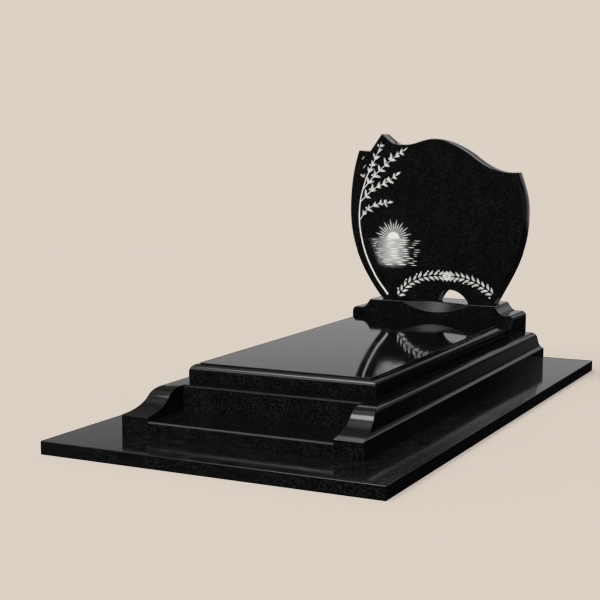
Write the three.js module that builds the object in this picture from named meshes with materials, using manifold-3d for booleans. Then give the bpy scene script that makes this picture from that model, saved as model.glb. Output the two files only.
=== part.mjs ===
// A family grave monument in polished black granite: a base slab, a moulded kerb with a flower
// recess at its foot end, a ledger that covers the grave, a plinth and an upright headstone.
// Units are millimetres and Z points up. The origin is at the centre of the base slab's underside.
// The foot end lies toward -Y and the headstone stands toward +Y.

import * as THREE from "three";
import { mergeVertices } from "three/addons/utils/BufferGeometryUtils.js";
import Module from "manifold-3d";

const wasm = await Module();
wasm.setup();

// Driving dimensions

const JOINT = 0.3;

const KERB_WIDTH = 800;
const KERB_LENGTH = 1800;
const KERB_BAND_HEIGHT = 56;
const KERB_HEIGHT = 121;
const KERB_RISE = 14;
const KERB_END_MOULDING = 195;
const KERB_SIDE_MOULDING = 45;

const BASE_SIDE_MARGIN = 150;
const BASE_END_MARGIN = 200;
const BASE_THICKNESS = 40;
const BASE_ARRIS = 3;

const FOOT_BLOCK_LENGTH = 470;
const HEAD_BLOCK_LENGTH = 240;
const RAIL_WIDTH = 130;

const ARM_WIDTH = 95;
const RECESS_DEPTH = 202;
const SHELF_HEIGHT = 44;

const LEDGER_SIDE_REVEAL = 78;
const LEDGER_FOOT_REVEAL = 63;
const LEDGER_THICKNESS = 57;
const LEDGER_ROUND = 22;
const LEDGER_STEP = 4;

const PLINTH_SIDE_REVEAL = 62;
const PLINTH_HEAD_REVEAL = 47;
const PLINTH_DEPTH = 175;
const PLINTH_HEIGHT = 120;
const PLINTH_NOSE_HEIGHT = 87;
const PLINTH_NOSE_RADIUS = 18;
const PLINTH_LEDGE_WIDTH = 22;
const PLINTH_COVE_WIDTH = 36;

const DISH_WIDTH = 320;
const DISH_DEPTH = 36;
const DISH_OFFSET = 15;

const STONE_SETBACK = 45;
const STONE_WIDTH = 731;
const STONE_HEIGHT = 666;
const STONE_THICKNESS = 80;
const STONE_OFFSET = -7;

const ARCH_WIDTH = 134;
const ARCH_HEIGHT = 51;
const ARCH_OFFSET = 71;
const ARCH_CROWN_SHARE = 0.43;

const CURVE_STEPS = 14;
const OUTLINE_STEPS = 18;
const DISH_FACETS = 224;

// Places worked out from the driving dimensions

const kerbFoot = -KERB_LENGTH / 2;
const kerbHead = KERB_LENGTH / 2;
const kerbBottom = BASE_THICKNESS + JOINT;
const kerbTop = BASE_THICKNESS + KERB_HEIGHT;
const shelfTop = BASE_THICKNESS + SHELF_HEIGHT;
const recessWall = kerbFoot + RECESS_DEPTH;
const footJoint = kerbFoot + FOOT_BLOCK_LENGTH;
const headJoint = kerbHead - HEAD_BLOCK_LENGTH;

const plinthHead = kerbHead - PLINTH_HEAD_REVEAL;
const plinthFoot = plinthHead - PLINTH_DEPTH;
const plinthHalf = KERB_WIDTH / 2 - PLINTH_SIDE_REVEAL;
const plinthSeat = kerbTop + riseAt(plinthFoot);
const plinthTop = plinthSeat + PLINTH_HEIGHT;

const ledgerHalf = KERB_WIDTH / 2 - LEDGER_SIDE_REVEAL;
const ledgerFoot = recessWall + LEDGER_FOOT_REVEAL;
const ledgerHead = plinthFoot - JOINT;

const stoneFace = plinthFoot + STONE_SETBACK;
const stoneFoot = plinthTop + JOINT;

// The kerb is a little higher at the head than at the foot, so that the ledger sheds water.
function riseAt(y) {
  return (KERB_RISE * (y - kerbFoot)) / KERB_LENGTH;
}

// Joining and cutting

function toSolid(geometry) {
  geometry.deleteAttribute("normal");
  geometry.deleteAttribute("uv");
  const merged = mergeVertices(geometry);
  return new wasm.Manifold(
    new wasm.Mesh({
      numProp: 3,
      vertProperties: new Float32Array(merged.attributes.position.array),
      triVerts: new Uint32Array(merged.index.array),
    }),
  );
}

function toGeometry(solid) {
  const mesh = solid.getMesh();
  const geometry = new THREE.BufferGeometry();
  geometry.setAttribute("position", new THREE.BufferAttribute(mesh.vertProperties, 3));
  geometry.setIndex(new THREE.BufferAttribute(mesh.triVerts, 1));
  geometry.computeVertexNormals();
  return geometry;
}

function box(x0, x1, y0, y1, z0, z1) {
  const geometry = new THREE.BoxGeometry(x1 - x0, y1 - y0, z1 - z0);
  geometry.translate((x0 + x1) / 2, (y0 + y1) / 2, (z0 + z1) / 2);
  return toSolid(geometry);
}

// A body made of level rectangles, one above the other. Each ring is { x, foot, head, z }, where x
// is half its width. A ring that slopes rises toward the head with the kerb.
function stackRings(rings) {
  const positions = [];
  for (const ring of rings) {
    const corners = [
      [-ring.x, ring.foot],
      [ring.x, ring.foot],
      [ring.x, ring.head],
      [-ring.x, ring.head],
    ];
    for (const [x, y] of corners) {
      positions.push(x, y, ring.z + (ring.slopes ? riseAt(y) : 0));
    }
  }
  const indices = [0, 2, 1, 0, 3, 2];
  for (let level = 0; level < rings.length - 1; level++) {
    for (let side = 0; side < 4; side++) {
      const a = level * 4 + side;
      const b = level * 4 + ((side + 1) % 4);
      indices.push(a, b, b + 4, a, b + 4, a + 4);
    }
  }
  const top = (rings.length - 1) * 4;
  indices.push(top, top + 1, top + 2, top, top + 2, top + 3);
  const geometry = new THREE.BufferGeometry();
  geometry.setAttribute("position", new THREE.Float32BufferAttribute(positions, 3));
  geometry.setIndex(indices);
  geometry.computeVertexNormals();
  return geometry;
}

// An upright shape drawn in X and Z and given a depth toward +Y.
function extrudeUpright(shape, depth, steps) {
  const geometry = new THREE.ExtrudeGeometry(shape, { depth, bevelEnabled: false, curveSegments: steps });
  geometry.rotateX(Math.PI / 2);
  geometry.translate(0, depth, 0);
  return geometry;
}

// Base slab

function makeBaseSlab() {
  const x = KERB_WIDTH / 2 + BASE_SIDE_MARGIN;
  const y = KERB_LENGTH / 2 + BASE_END_MARGIN;
  return stackRings([
    { x, foot: -y, head: y, z: 0 },
    { x, foot: -y, head: y, z: BASE_THICKNESS - BASE_ARRIS },
    { x: x - BASE_ARRIS, foot: BASE_ARRIS - y, head: y - BASE_ARRIS, z: BASE_THICKNESS },
  ]);
}

// Kerb

// The moulding above the kerb's upright band, as shares of its reach inward and its rise: it flares
// out hollow from the band, turns over and runs level into the top. The long sweep at the foot and
// the short, steep one at the sides rise alike, so that they meet in a mitre.
const hollowRise = [0, 0.12, 0.33, 0.64];
const roundRise = [0.64, 0.92, 1, 1];

function mouldingCurve(hollowReach, roundReach) {
  const curve = (reach, rise) =>
    new THREE.CubicBezierCurve(...reach.map((share, i) => new THREE.Vector2(share, rise[i])));
  return [
    ...curve(hollowReach, hollowRise).getPoints(CURVE_STEPS),
    ...curve(roundReach, roundRise).getPoints(CURVE_STEPS).slice(1),
  ];
}

function makeWholeKerb() {
  const half = KERB_WIDTH / 2;
  const footCurve = mouldingCurve([0, 0.31, 0.51, 0.605], [0.605, 0.69, 0.81, 1]);
  const sideCurve = mouldingCurve([0, 0.2, 0.36, 0.45], [0.45, 0.53, 0.78, 1]);
  const rings = footCurve.map((share, i) => {
    const sideReach = sideCurve[i].x * KERB_SIDE_MOULDING;
    return {
      x: half - sideReach,
      foot: kerbFoot + share.x * KERB_END_MOULDING,
      head: kerbHead - sideReach,
      z: BASE_THICKNESS + KERB_BAND_HEIGHT + share.y * (KERB_HEIGHT - KERB_BAND_HEIGHT),
      slopes: true,
    };
  });
  rings.unshift({ x: half, foot: kerbFoot, head: kerbHead, z: kerbBottom });
  return toSolid(stackRings(rings));
}

const wholeKerb = makeWholeKerb();
const farOut = KERB_WIDTH;
const highUp = kerbTop + KERB_RISE + KERB_HEIGHT;

// The stretch of the kerb within these bounds, at its full height.
function partOfKerb(x0, x1, y0, y1) {
  return wholeKerb.intersect(box(x0, x1, y0, y1, 0, highUp));
}

function makeKerbFootBlock() {
  const armInside = KERB_WIDTH / 2 - ARM_WIDTH;
  const recess = box(-armInside, armInside, kerbFoot - RECESS_DEPTH, recessWall, shelfTop, highUp);
  const block = partOfKerb(-farOut, farOut, kerbFoot - RECESS_DEPTH, footJoint - JOINT / 2);
  return toGeometry(block.subtract(recess));
}

function makeKerbRail(side) {
  const outside = side * farOut;
  const inside = side * (KERB_WIDTH / 2 - RAIL_WIDTH);
  return toGeometry(
    partOfKerb(
      Math.min(outside, inside),
      Math.max(outside, inside),
      footJoint + JOINT / 2,
      headJoint - JOINT / 2,
    ),
  );
}

function makeKerbHeadBlock() {
  return toGeometry(partOfKerb(-farOut, farOut, headJoint + JOINT / 2, kerbHead + farOut));
}

// Ledger

// The edge is upright, then rounded over, with a small step up to the flat top. The head end is
// plain, because it stands against the plinth.
function makeLedger() {
  const bottom = kerbTop + JOINT;
  const stepBottom = LEDGER_THICKNESS - LEDGER_STEP;
  const ring = (inset, height) => ({
    x: ledgerHalf - inset,
    foot: ledgerFoot + inset,
    head: ledgerHead,
    z: bottom + height,
    slopes: true,
  });
  const rings = [ring(0, 0)];
  for (let step = 0; step <= CURVE_STEPS; step++) {
    const turn = ((Math.PI / 2) * step) / CURVE_STEPS;
    const inset = LEDGER_ROUND * (1 - Math.cos(turn));
    rings.push(ring(inset, stepBottom - LEDGER_ROUND * (1 - Math.sin(turn))));
  }
  rings.push(ring(LEDGER_ROUND + LEDGER_STEP, stepBottom));
  rings.push(ring(LEDGER_ROUND + LEDGER_STEP, LEDGER_THICKNESS));
  return stackRings(rings);
}

// Plinth

// Drawn in X and Z, with Z from the top of the kerb at the plinth's foot face: an upright nose
// that rounds over to a ledge, and a cove up to the top.
function plinthOutline() {
  const shape = new THREE.Shape();
  const ledgeOut = plinthHalf - PLINTH_NOSE_RADIUS;
  const coveOut = ledgeOut - PLINTH_LEDGE_WIDTH;
  const coveIn = coveOut - PLINTH_COVE_WIDTH;
  const noseLow = PLINTH_NOSE_HEIGHT - PLINTH_NOSE_RADIUS;
  const coveX = (coveOut + coveIn) / 2;
  shape.moveTo(-plinthHalf, 0);
  shape.lineTo(plinthHalf, 0);
  shape.lineTo(plinthHalf, noseLow);
  shape.absarc(ledgeOut, noseLow, PLINTH_NOSE_RADIUS, 0, Math.PI / 2, false);
  shape.lineTo(coveOut, PLINTH_NOSE_HEIGHT);
  shape.quadraticCurveTo(coveX, PLINTH_NOSE_HEIGHT, coveIn, PLINTH_HEIGHT);
  shape.lineTo(-coveIn, PLINTH_HEIGHT);
  shape.quadraticCurveTo(-coveX, PLINTH_NOSE_HEIGHT, -coveOut, PLINTH_NOSE_HEIGHT);
  shape.lineTo(-ledgeOut, PLINTH_NOSE_HEIGHT);
  shape.absarc(-ledgeOut, noseLow, PLINTH_NOSE_RADIUS, Math.PI / 2, Math.PI, false);
  return shape;
}

// The space under the plinth, up to its joint with the sloping top of the kerb.
function plinthBed() {
  const plan = { x: KERB_WIDTH, foot: kerbFoot, head: kerbHead };
  return toSolid(
    stackRings([
      { ...plan, z: 0 },
      { ...plan, z: kerbTop + JOINT, slopes: true },
    ]),
  );
}

// The dish is the hollow that a tilted cylinder leaves: it is deepest at the plinth's foot face and
// runs out at the headstone's face. The cylinder reaches past both.
function dishCutter() {
  const radius = (DISH_WIDTH ** 2 / 4 + DISH_DEPTH ** 2) / (2 * DISH_DEPTH);
  const tilt = Math.atan2(DISH_DEPTH, STONE_SETBACK);
  const reach = STONE_SETBACK / Math.cos(tilt);
  const length = reach * 3;
  const geometry = new THREE.CylinderGeometry(radius, radius, length, DISH_FACETS);
  geometry.translate(0, 0, radius);
  geometry.rotateX(tilt);
  geometry.translate(DISH_OFFSET, stoneFace, plinthTop);
  return toSolid(geometry);
}

function makePlinth() {
  const block = extrudeUpright(plinthOutline(), PLINTH_DEPTH, CURVE_STEPS);
  block.translate(0, plinthFoot, plinthSeat);
  return toGeometry(toSolid(block).subtract(plinthBed()).subtract(dishCutter()));
}

// Headstone

// The uneven shield outline, as shares of the stone's width and height. It is a free form: the
// main peak stands left of the middle, with a notch and a lower shoulder left of it, and the top
// sweeps in one long wave down to the corner on the right.
function headstoneOutline() {
  const at = (x, z) => [x * STONE_WIDTH, z * STONE_HEIGHT];
  const shape = new THREE.Shape();
  const curve = (a, b, c) => shape.bezierCurveTo(...at(...a), ...at(...b), ...at(...c));
  const line = (a) => shape.lineTo(...at(...a));
  const footLeft = [-0.297, 0];
  const footRight = [0.338, 0];
  const hipRight = [0.5, 0.53];
  const corner = [0.451, 0.777];
  const fall = [0.213, 0.865];
  const crest = [-0.01, 0.972];
  const hollowLow = [-0.17, 0.937];
  const peak = [-0.318, 1];
  const notch = [-0.391, 0.887];
  const shoulderRight = [-0.388, 0.896];
  const shoulderLeft = [-0.452, 0.901];
  const hipLeft = [-0.5, 0.55];
  shape.moveTo(...at(...footLeft));
  line(footRight);
  curve([0.407, 0.153], [0.5, 0.286], hipRight);
  curve([0.5, 0.63], [0.482, 0.68], corner);
  curve([0.355, 0.772], [0.289, 0.804], fall);
  curve([0.143, 0.926], [0.04, 0.973], crest);
  curve([-0.075, 0.971], [-0.115, 0.938], hollowLow);
  curve([-0.25, 0.936], [-0.25, 0.938], peak);
  line(notch);
  line(shoulderRight);
  line(shoulderLeft);
  curve([-0.49, 0.78], [-0.5, 0.65], hipLeft);
  curve([-0.5, 0.32], [-0.411, 0.152], footLeft);
  return shape;
}

// The opening's crown stands left of its middle, with a quick rise on the left and a long fall on
// the right.
function archOutline() {
  const left = ARCH_OFFSET - ARCH_WIDTH / 2;
  const right = ARCH_OFFSET + ARCH_WIDTH / 2;
  const crown = left + ARCH_WIDTH * ARCH_CROWN_SHARE;
  const rise = crown - left;
  const fall = right - crown;
  const below = -ARCH_HEIGHT;
  const shape = new THREE.Shape();
  shape.moveTo(left, below);
  shape.lineTo(right, below);
  shape.lineTo(right, 0);
  shape.bezierCurveTo(
    right - fall * 0.12,
    ARCH_HEIGHT * 0.5,
    crown + fall * 0.45,
    ARCH_HEIGHT,
    crown,
    ARCH_HEIGHT,
  );
  shape.bezierCurveTo(crown - rise * 0.5, ARCH_HEIGHT, left + rise * 0.2, ARCH_HEIGHT * 0.6, left, 0);
  shape.lineTo(left, below);
  return shape;
}

function makeHeadstone() {
  const slab = extrudeUpright(headstoneOutline(), STONE_THICKNESS, OUTLINE_STEPS);
  slab.translate(STONE_OFFSET, stoneFace, stoneFoot);
  const opening = extrudeUpright(archOutline(), STONE_THICKNESS * 2, OUTLINE_STEPS);
  opening.translate(0, stoneFace - STONE_THICKNESS / 2, stoneFoot);
  return toGeometry(toSolid(slab).subtract(toSolid(opening)));
}

// The finished monument

// Polished black granite: nearly black, and as smooth as glass.
function polishedGranite(colour) {
  return new THREE.MeshStandardMaterial({ color: colour, roughness: 0.08, metalness: 0 });
}

const headstone = new THREE.Group();

function addPiece(name, geometry, colour) {
  const piece = new THREE.Mesh(geometry, polishedGranite(colour));
  piece.name = name;
  headstone.add(piece);
}

addPiece("base_slab", makeBaseSlab(), "#1c1c1e");
addPiece("kerb_foot_block", makeKerbFootBlock(), "#17171a");
addPiece("kerb_left_rail", makeKerbRail(-1), "#17171a");
addPiece("kerb_right_rail", makeKerbRail(1), "#17171a");
addPiece("kerb_head_block", makeKerbHeadBlock(), "#17171a");
addPiece("ledger", makeLedger(), "#1e1e21");
addPiece("plinth", makePlinth(), "#141416");
addPiece("headstone", makeHeadstone(), "#141416");

export default headstone;
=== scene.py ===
"""A family grave monument in polished black granite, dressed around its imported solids.

Every piece is rebuilt at the size and place of its solid, with worked arrises, finer mouldings and
an etched face on the headstone. All lengths are in metres.
"""

import math
import random

import bmesh
import bpy
from mathutils import Euler, Matrix, Vector
from mathutils.geometry import delaunay_2d_cdt, interpolate_bezier


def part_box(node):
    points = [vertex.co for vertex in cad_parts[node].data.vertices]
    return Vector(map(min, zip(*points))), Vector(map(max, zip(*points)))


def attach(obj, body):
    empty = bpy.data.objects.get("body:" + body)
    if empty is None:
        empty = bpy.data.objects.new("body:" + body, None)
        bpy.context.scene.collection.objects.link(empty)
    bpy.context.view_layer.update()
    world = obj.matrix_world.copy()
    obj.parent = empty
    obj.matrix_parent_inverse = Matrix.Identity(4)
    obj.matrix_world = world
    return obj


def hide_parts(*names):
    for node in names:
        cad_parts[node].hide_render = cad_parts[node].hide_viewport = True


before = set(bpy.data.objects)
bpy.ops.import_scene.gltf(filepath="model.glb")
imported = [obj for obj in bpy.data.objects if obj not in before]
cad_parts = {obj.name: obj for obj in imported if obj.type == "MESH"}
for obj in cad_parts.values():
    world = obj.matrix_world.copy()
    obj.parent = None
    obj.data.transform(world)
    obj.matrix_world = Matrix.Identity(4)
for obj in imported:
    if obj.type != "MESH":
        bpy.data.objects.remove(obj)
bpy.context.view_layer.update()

bl_info = {
    "name": "Granite Grave Monument",
    "version": (1, 0, 0),
    "blender": (4, 5, 0),
    "location": "View3D > Sidebar > Monument",
    "description": "Builds a polished granite grave monument and a stage to show it",
    "category": "Add Mesh",
}

MM = 0.001
GRANITE_IOR = 1.58


# Places taken from the frame

base_low, base_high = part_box("base_slab")
foot_low, foot_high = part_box("kerb_foot_block")
rail_low, rail_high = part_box("kerb_right_rail")
head_low, head_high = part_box("kerb_head_block")
ledger_low, ledger_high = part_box("ledger")
plinth_low, plinth_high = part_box("plinth")
stone_low, stone_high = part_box("headstone")

kerb_half = foot_high.x
kerb_foot = foot_low.y
kerb_head = head_high.y
stone_width = stone_high.x - stone_low.x
stone_height = stone_high.z - stone_low.z
stone_middle = (stone_high.x + stone_low.x) / 2
far_out = kerb_head * 2


def length(name, description, default):
    """A length property in metres."""
    return bpy.props.FloatProperty(
        name=name, description=description, default=default, min=0.0, unit="LENGTH", precision=4
    )


def colour(name, description, default):
    """A colour property, given as an sRGB hex value."""
    return bpy.props.StringProperty(name=name, description=description, default=default)


class KerbSizes(bpy.types.PropertyGroup):
    """The kerb's moulding, its fall and the recess for flowers."""

    height: length("Height", "From the base slab to the flat top, at the foot", 121 * MM)
    rise: length("Rise", "How much higher the top is at the head", 14 * MM)
    band_height: length("Band height", "The upright band under the moulding", 56 * MM)
    end_moulding: length("End moulding", "How far the moulding runs in at the foot", 195 * MM)
    side_moulding: length("Side moulding", "How far the moulding runs in at the sides", 45 * MM)
    arm_width: length("Arm width", "The scroll-shaped arm at each side of the recess", 95 * MM)
    recess_depth: length("Recess depth", "From the foot face to the recess's back wall", 202 * MM)
    shelf_height: length("Shelf height", "The shelf's top above the base slab", 44 * MM)


class LedgerSizes(bpy.types.PropertyGroup):
    """The ledger's worked edge."""

    rounding: length("Rounding", "Radius of the rounded top edge", 22 * MM)
    step: length("Step", "The small step up to the flat top", 4 * MM)


class PlinthSizes(bpy.types.PropertyGroup):
    """The plinth's shaped ends and the dish in its top."""

    shoulder_drop: length("Shoulder drop", "From the top down to the ledge", 33 * MM)
    nose_radius: length("Nose radius", "The rounded outer end", 18 * MM)
    ledge_width: length("Ledge width", "The flat ledge behind the nose", 22 * MM)
    cove_width: length("Cove width", "The hollow between ledge and top", 36 * MM)
    dish_width: length("Dish width", "The scooped dish across the front face", 320 * MM)
    dish_depth: length("Dish depth", "The dish's depth at the front face", 36 * MM)
    dish_offset: length("Dish offset", "The dish's middle, right of the plinth's", 15 * MM)


class HeadstoneSizes(bpy.types.PropertyGroup):
    """The small opening cut through the headstone's foot."""

    arch_width: length("Opening width", "Across the opening's foot", 134 * MM)
    arch_height: length("Opening height", "From the plinth to the crown", 51 * MM)
    arch_offset: length("Opening offset", "The opening's middle, right of the plinth's", 71 * MM)
    crown_share: bpy.props.FloatProperty(
        name="Crown share", description="Where the crown stands across the width", default=0.43
    )


class ArrisSizes(bpy.types.PropertyGroup):
    """How much each sharp edge is eased by hand after sawing."""

    plain: length("Plain arris", "The eased edge on most corners", 2 * MM)
    joint: length("Joint arris", "The fine edge where two pieces meet", 0.8 * MM)
    bold: length("Bold arris", "The rounder edge of the shelf and the wall above it", 10 * MM)


class EtchingSizes(bpy.types.PropertyGroup):
    """The etched design on the headstone's face."""

    depth: length("Depth", "How deep the blasted lines and leaves lie", 0.6 * MM)
    margin: length("Margin", "Polished border kept clear along the outline", 9 * MM)
    leaf_length: length("Leaf length", "An olive leaf", 36 * MM)
    leaf_width: length("Leaf width", "An olive leaf", 9.5 * MM)
    garland_leaf: length("Garland leaf", "A laurel leaf in the garland over the opening", 30 * MM)
    garland_width: length("Garland width", "A laurel leaf in the garland", 9.5 * MM)
    rib: length("Rib", "The polished line left down the middle of a leaf", 1.4 * MM)
    ripple_gap: length("Ripple gap", "Between two rows of water strokes", 9 * MM)
    tone_grid: length("Tone grid", "Spacing of the points that carry the soft tones", 7 * MM)


class Finishes(bpy.types.PropertyGroup):
    """Colours of the stone, as sRGB hex values."""

    black: colour("Black", "The granite's dark pyroxene ground", "#040404")
    feldspar: colour("Feldspar", "Its small grey crystals", "#302f2e")
    frosted: colour("Frosted", "The granite where it is blasted or etched", "#e4e2df")
    floor: colour("Floor", "The studio floor", "#ded4c8")
    grain: length("Grain", "The crystal size that the eye reads from a step away", 2.0 * MM)


class StageSizes(bpy.types.PropertyGroup):
    """Camera and floor."""

    azimuth: bpy.props.FloatProperty(
        name="Azimuth", description="Camera's angle round the monument", default=26.38
    )
    elevation: bpy.props.FloatProperty(
        name="Elevation", description="Camera's angle above the horizon", default=6.74
    )
    roll: bpy.props.FloatProperty(name="Roll", description="Camera's lean", default=0.24)
    place: bpy.props.FloatVectorProperty(
        name="Place", description="Where the camera stands", default=(1.756, -4.034, 0.893)
    )
    lens: bpy.props.FloatProperty(
        name="Lens", description="Focal length on a 36 mm sensor, in mm", default=75.98
    )
    floor_radius: length("Floor radius", "The round studio floor", 7.0)


SETTINGS = {
    "monument_kerb": KerbSizes,
    "monument_ledger": LedgerSizes,
    "monument_plinth": PlinthSizes,
    "monument_headstone": HeadstoneSizes,
    "monument_arris": ArrisSizes,
    "monument_etching": EtchingSizes,
    "monument_finish": Finishes,
    "monument_stage": StageSizes,
}


def setting(name):
    """The scene's property group of that name."""
    return getattr(bpy.context.scene, "monument_" + name)


# Colours and nodes


def linear(hex_value):
    """An sRGB hex value as linear RGBA."""
    digits = hex_value.lstrip("#")
    channels = [int(digits[i : i + 2], 16) / 255 for i in (0, 2, 4)]
    straight = [c / 12.92 if c <= 0.04045 else ((c + 0.055) / 1.055) ** 2.4 for c in channels]
    return (*straight, 1.0)


def add_node(tree, kind, values=None, links=None, **settings):
    """Adds a node, sets its options and input values, and links inputs from other sockets."""
    node = tree.nodes.new(kind)
    for name, value in settings.items():
        setattr(node, name, value)
    for name, value in (values or {}).items():
        node.inputs[name].default_value = value
    for name, source in (links or {}).items():
        tree.links.new(source, node.inputs[name])
    return node


def joined(tree, operation, first, *others):
    """The sockets joined by a math operation, one after another."""
    total = first
    for other in others:
        total = add_node(
            tree, "ShaderNodeMath", links={0: total, 1: other}, operation=operation
        ).outputs["Value"]
    return total


def new_material(name):
    """An empty Principled material. Returns the material, its node tree and its shader."""
    material = bpy.data.materials.new(name)
    material.use_nodes = True
    tree = material.node_tree
    tree.nodes.clear()
    shader = add_node(tree, "ShaderNodeBsdfPrincipled")
    add_node(tree, "ShaderNodeOutputMaterial", links={"Surface": shader.outputs["BSDF"]})
    return material, tree, shader


def granite_grain(tree):
    """Random grey crystals in a black ground. Returns the colour socket and the place socket."""
    finish = setting("finish")
    place = add_node(tree, "ShaderNodeTexCoord").outputs["Object"]
    crystals = add_node(
        tree,
        "ShaderNodeTexVoronoi",
        values={"Scale": 1 / finish.grain, "Randomness": 1.0},
        links={"Vector": place},
    )
    chance = add_node(tree, "ShaderNodeSeparateColor", links={"Color": crystals.outputs["Color"]})
    feldspar = add_node(
        tree,
        "ShaderNodeMapRange",
        values={"From Min": 0.6, "From Max": 1.0},
        links={"Value": chance.outputs["Red"]},
        interpolation_type="SMOOTHSTEP",
    )
    cloud = add_node(
        tree,
        "ShaderNodeTexNoise",
        values={"Scale": 1 / (60 * MM), "Detail": 3.0},
        links={"Vector": place},
    )
    patchy = add_node(
        tree,
        "ShaderNodeMath",
        links={0: feldspar.outputs["Result"], 1: cloud.outputs["Fac"]},
        operation="MULTIPLY",
    )
    mixed = add_node(
        tree,
        "ShaderNodeMix",
        values={6: linear(finish.black), 7: linear(finish.feldspar)},
        links={0: patchy.outputs["Value"]},
        data_type="RGBA",
    )
    return mixed.outputs[2], place


def polished_roughness(tree, place, smooth, hazy):
    """A mirror polish that is a little hazier in broad, soft patches."""
    haze = add_node(
        tree,
        "ShaderNodeTexNoise",
        values={"Scale": 1 / (180 * MM), "Detail": 4.0},
        links={"Vector": place},
    )
    return add_node(
        tree,
        "ShaderNodeMapRange",
        values={"From Min": 0.3, "From Max": 0.75, "To Min": smooth, "To Max": hazy},
        links={"Value": haze.outputs["Fac"]},
    ).outputs["Result"]


def mirror_polished_granite():
    """Fine-grained black granite, sawn and diamond polished: near black, with a clear mirror."""
    material, tree, shader = new_material("mirror_polished_granite")
    grain, place = granite_grain(tree)
    tree.links.new(grain, shader.inputs["Base Color"])
    tree.links.new(polished_roughness(tree, place, 0.04, 0.075), shader.inputs["Roughness"])
    shader.inputs["IOR"].default_value = GRANITE_IOR
    return material


def honed_granite():
    """The scooped dish, honed just short of a polish: a soft grey that blurs what it mirrors."""
    material, tree, shader = new_material("honed_granite")
    grain, _ = granite_grain(tree)
    paler = add_node(
        tree,
        "ShaderNodeMix",
        values={0: 0.1, 7: linear("#3c3b3a")},
        links={6: grain},
        data_type="RGBA",
    )
    tree.links.new(paler.outputs[2], shader.inputs["Base Color"])
    shader.inputs["Roughness"].default_value = 0.2
    shader.inputs["IOR"].default_value = GRANITE_IOR
    return material


def wiped_polished_granite():
    """The same polish where rain and wiping have left fine pale hairlines, as on the base slab.

    The hairlines are drawn 3 mm wide, coarser than real ones, so that they show.
    """
    material, tree, shader = new_material("wiped_polished_granite")
    grain, place = granite_grain(tree)
    hairlines = []
    for turn, offset in ((8, 0.0), (-38, 3.7), (64, 8.1)):
        laid = add_node(
            tree,
            "ShaderNodeMapping",
            values={
                "Rotation": (0, 0, math.radians(turn)),
                "Location": (offset, offset, 0),
                "Scale": (90 * MM, 3 * MM, 40 * MM),
            },
            links={"Vector": place},
            vector_type="TEXTURE",
        )
        streaks = add_node(
            tree,
            "ShaderNodeTexNoise",
            values={"Scale": 1.0, "Detail": 2.0},
            links={"Vector": laid.outputs["Vector"]},
        )
        hairline = add_node(
            tree,
            "ShaderNodeMapRange",
            values={"From Min": 0.64, "From Max": 0.84},
            links={"Value": streaks.outputs["Fac"]},
        )
        hairlines.append(hairline.outputs["Result"])
    marks = joined(tree, "MAXIMUM", *hairlines)
    facing = add_node(tree, "ShaderNodeNewGeometry").outputs["Normal"]
    upward = add_node(tree, "ShaderNodeSeparateXYZ", links={"Vector": facing}).outputs["Z"]
    on_top = add_node(
        tree,
        "ShaderNodeMapRange",
        values={"From Min": 0.8, "From Max": 0.95},
        links={"Value": upward},
        interpolation_type="SMOOTHSTEP",
    ).outputs["Result"]
    wiped = add_node(
        tree,
        "ShaderNodeMix",
        values={7: linear("#5a5856")},
        links={0: joined(tree, "MULTIPLY", marks, on_top), 6: grain},
        data_type="RGBA",
    )
    tree.links.new(wiped.outputs[2], shader.inputs["Base Color"])
    tree.links.new(polished_roughness(tree, place, 0.07, 0.14), shader.inputs["Roughness"])
    shader.inputs["IOR"].default_value = GRANITE_IOR
    return material


def sawn_granite():
    """The same granite left fine-sawn on an underside: dull, and greyer than the polish."""
    material, tree, shader = new_material("sawn_granite")
    grain, place = granite_grain(tree)
    scratches = add_node(
        tree,
        "ShaderNodeTexNoise",
        values={"Scale": 1 / (3 * MM), "Detail": 2.0},
        links={"Vector": place},
    )
    paler = add_node(
        tree,
        "ShaderNodeMix",
        values={7: linear("#3b3a39")},
        links={0: scratches.outputs["Fac"], 6: grain},
        data_type="RGBA",
    )
    tree.links.new(paler.outputs[2], shader.inputs["Base Color"])
    shader.inputs["Roughness"].default_value = 0.6
    shader.inputs["IOR"].default_value = GRANITE_IOR
    return material


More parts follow.
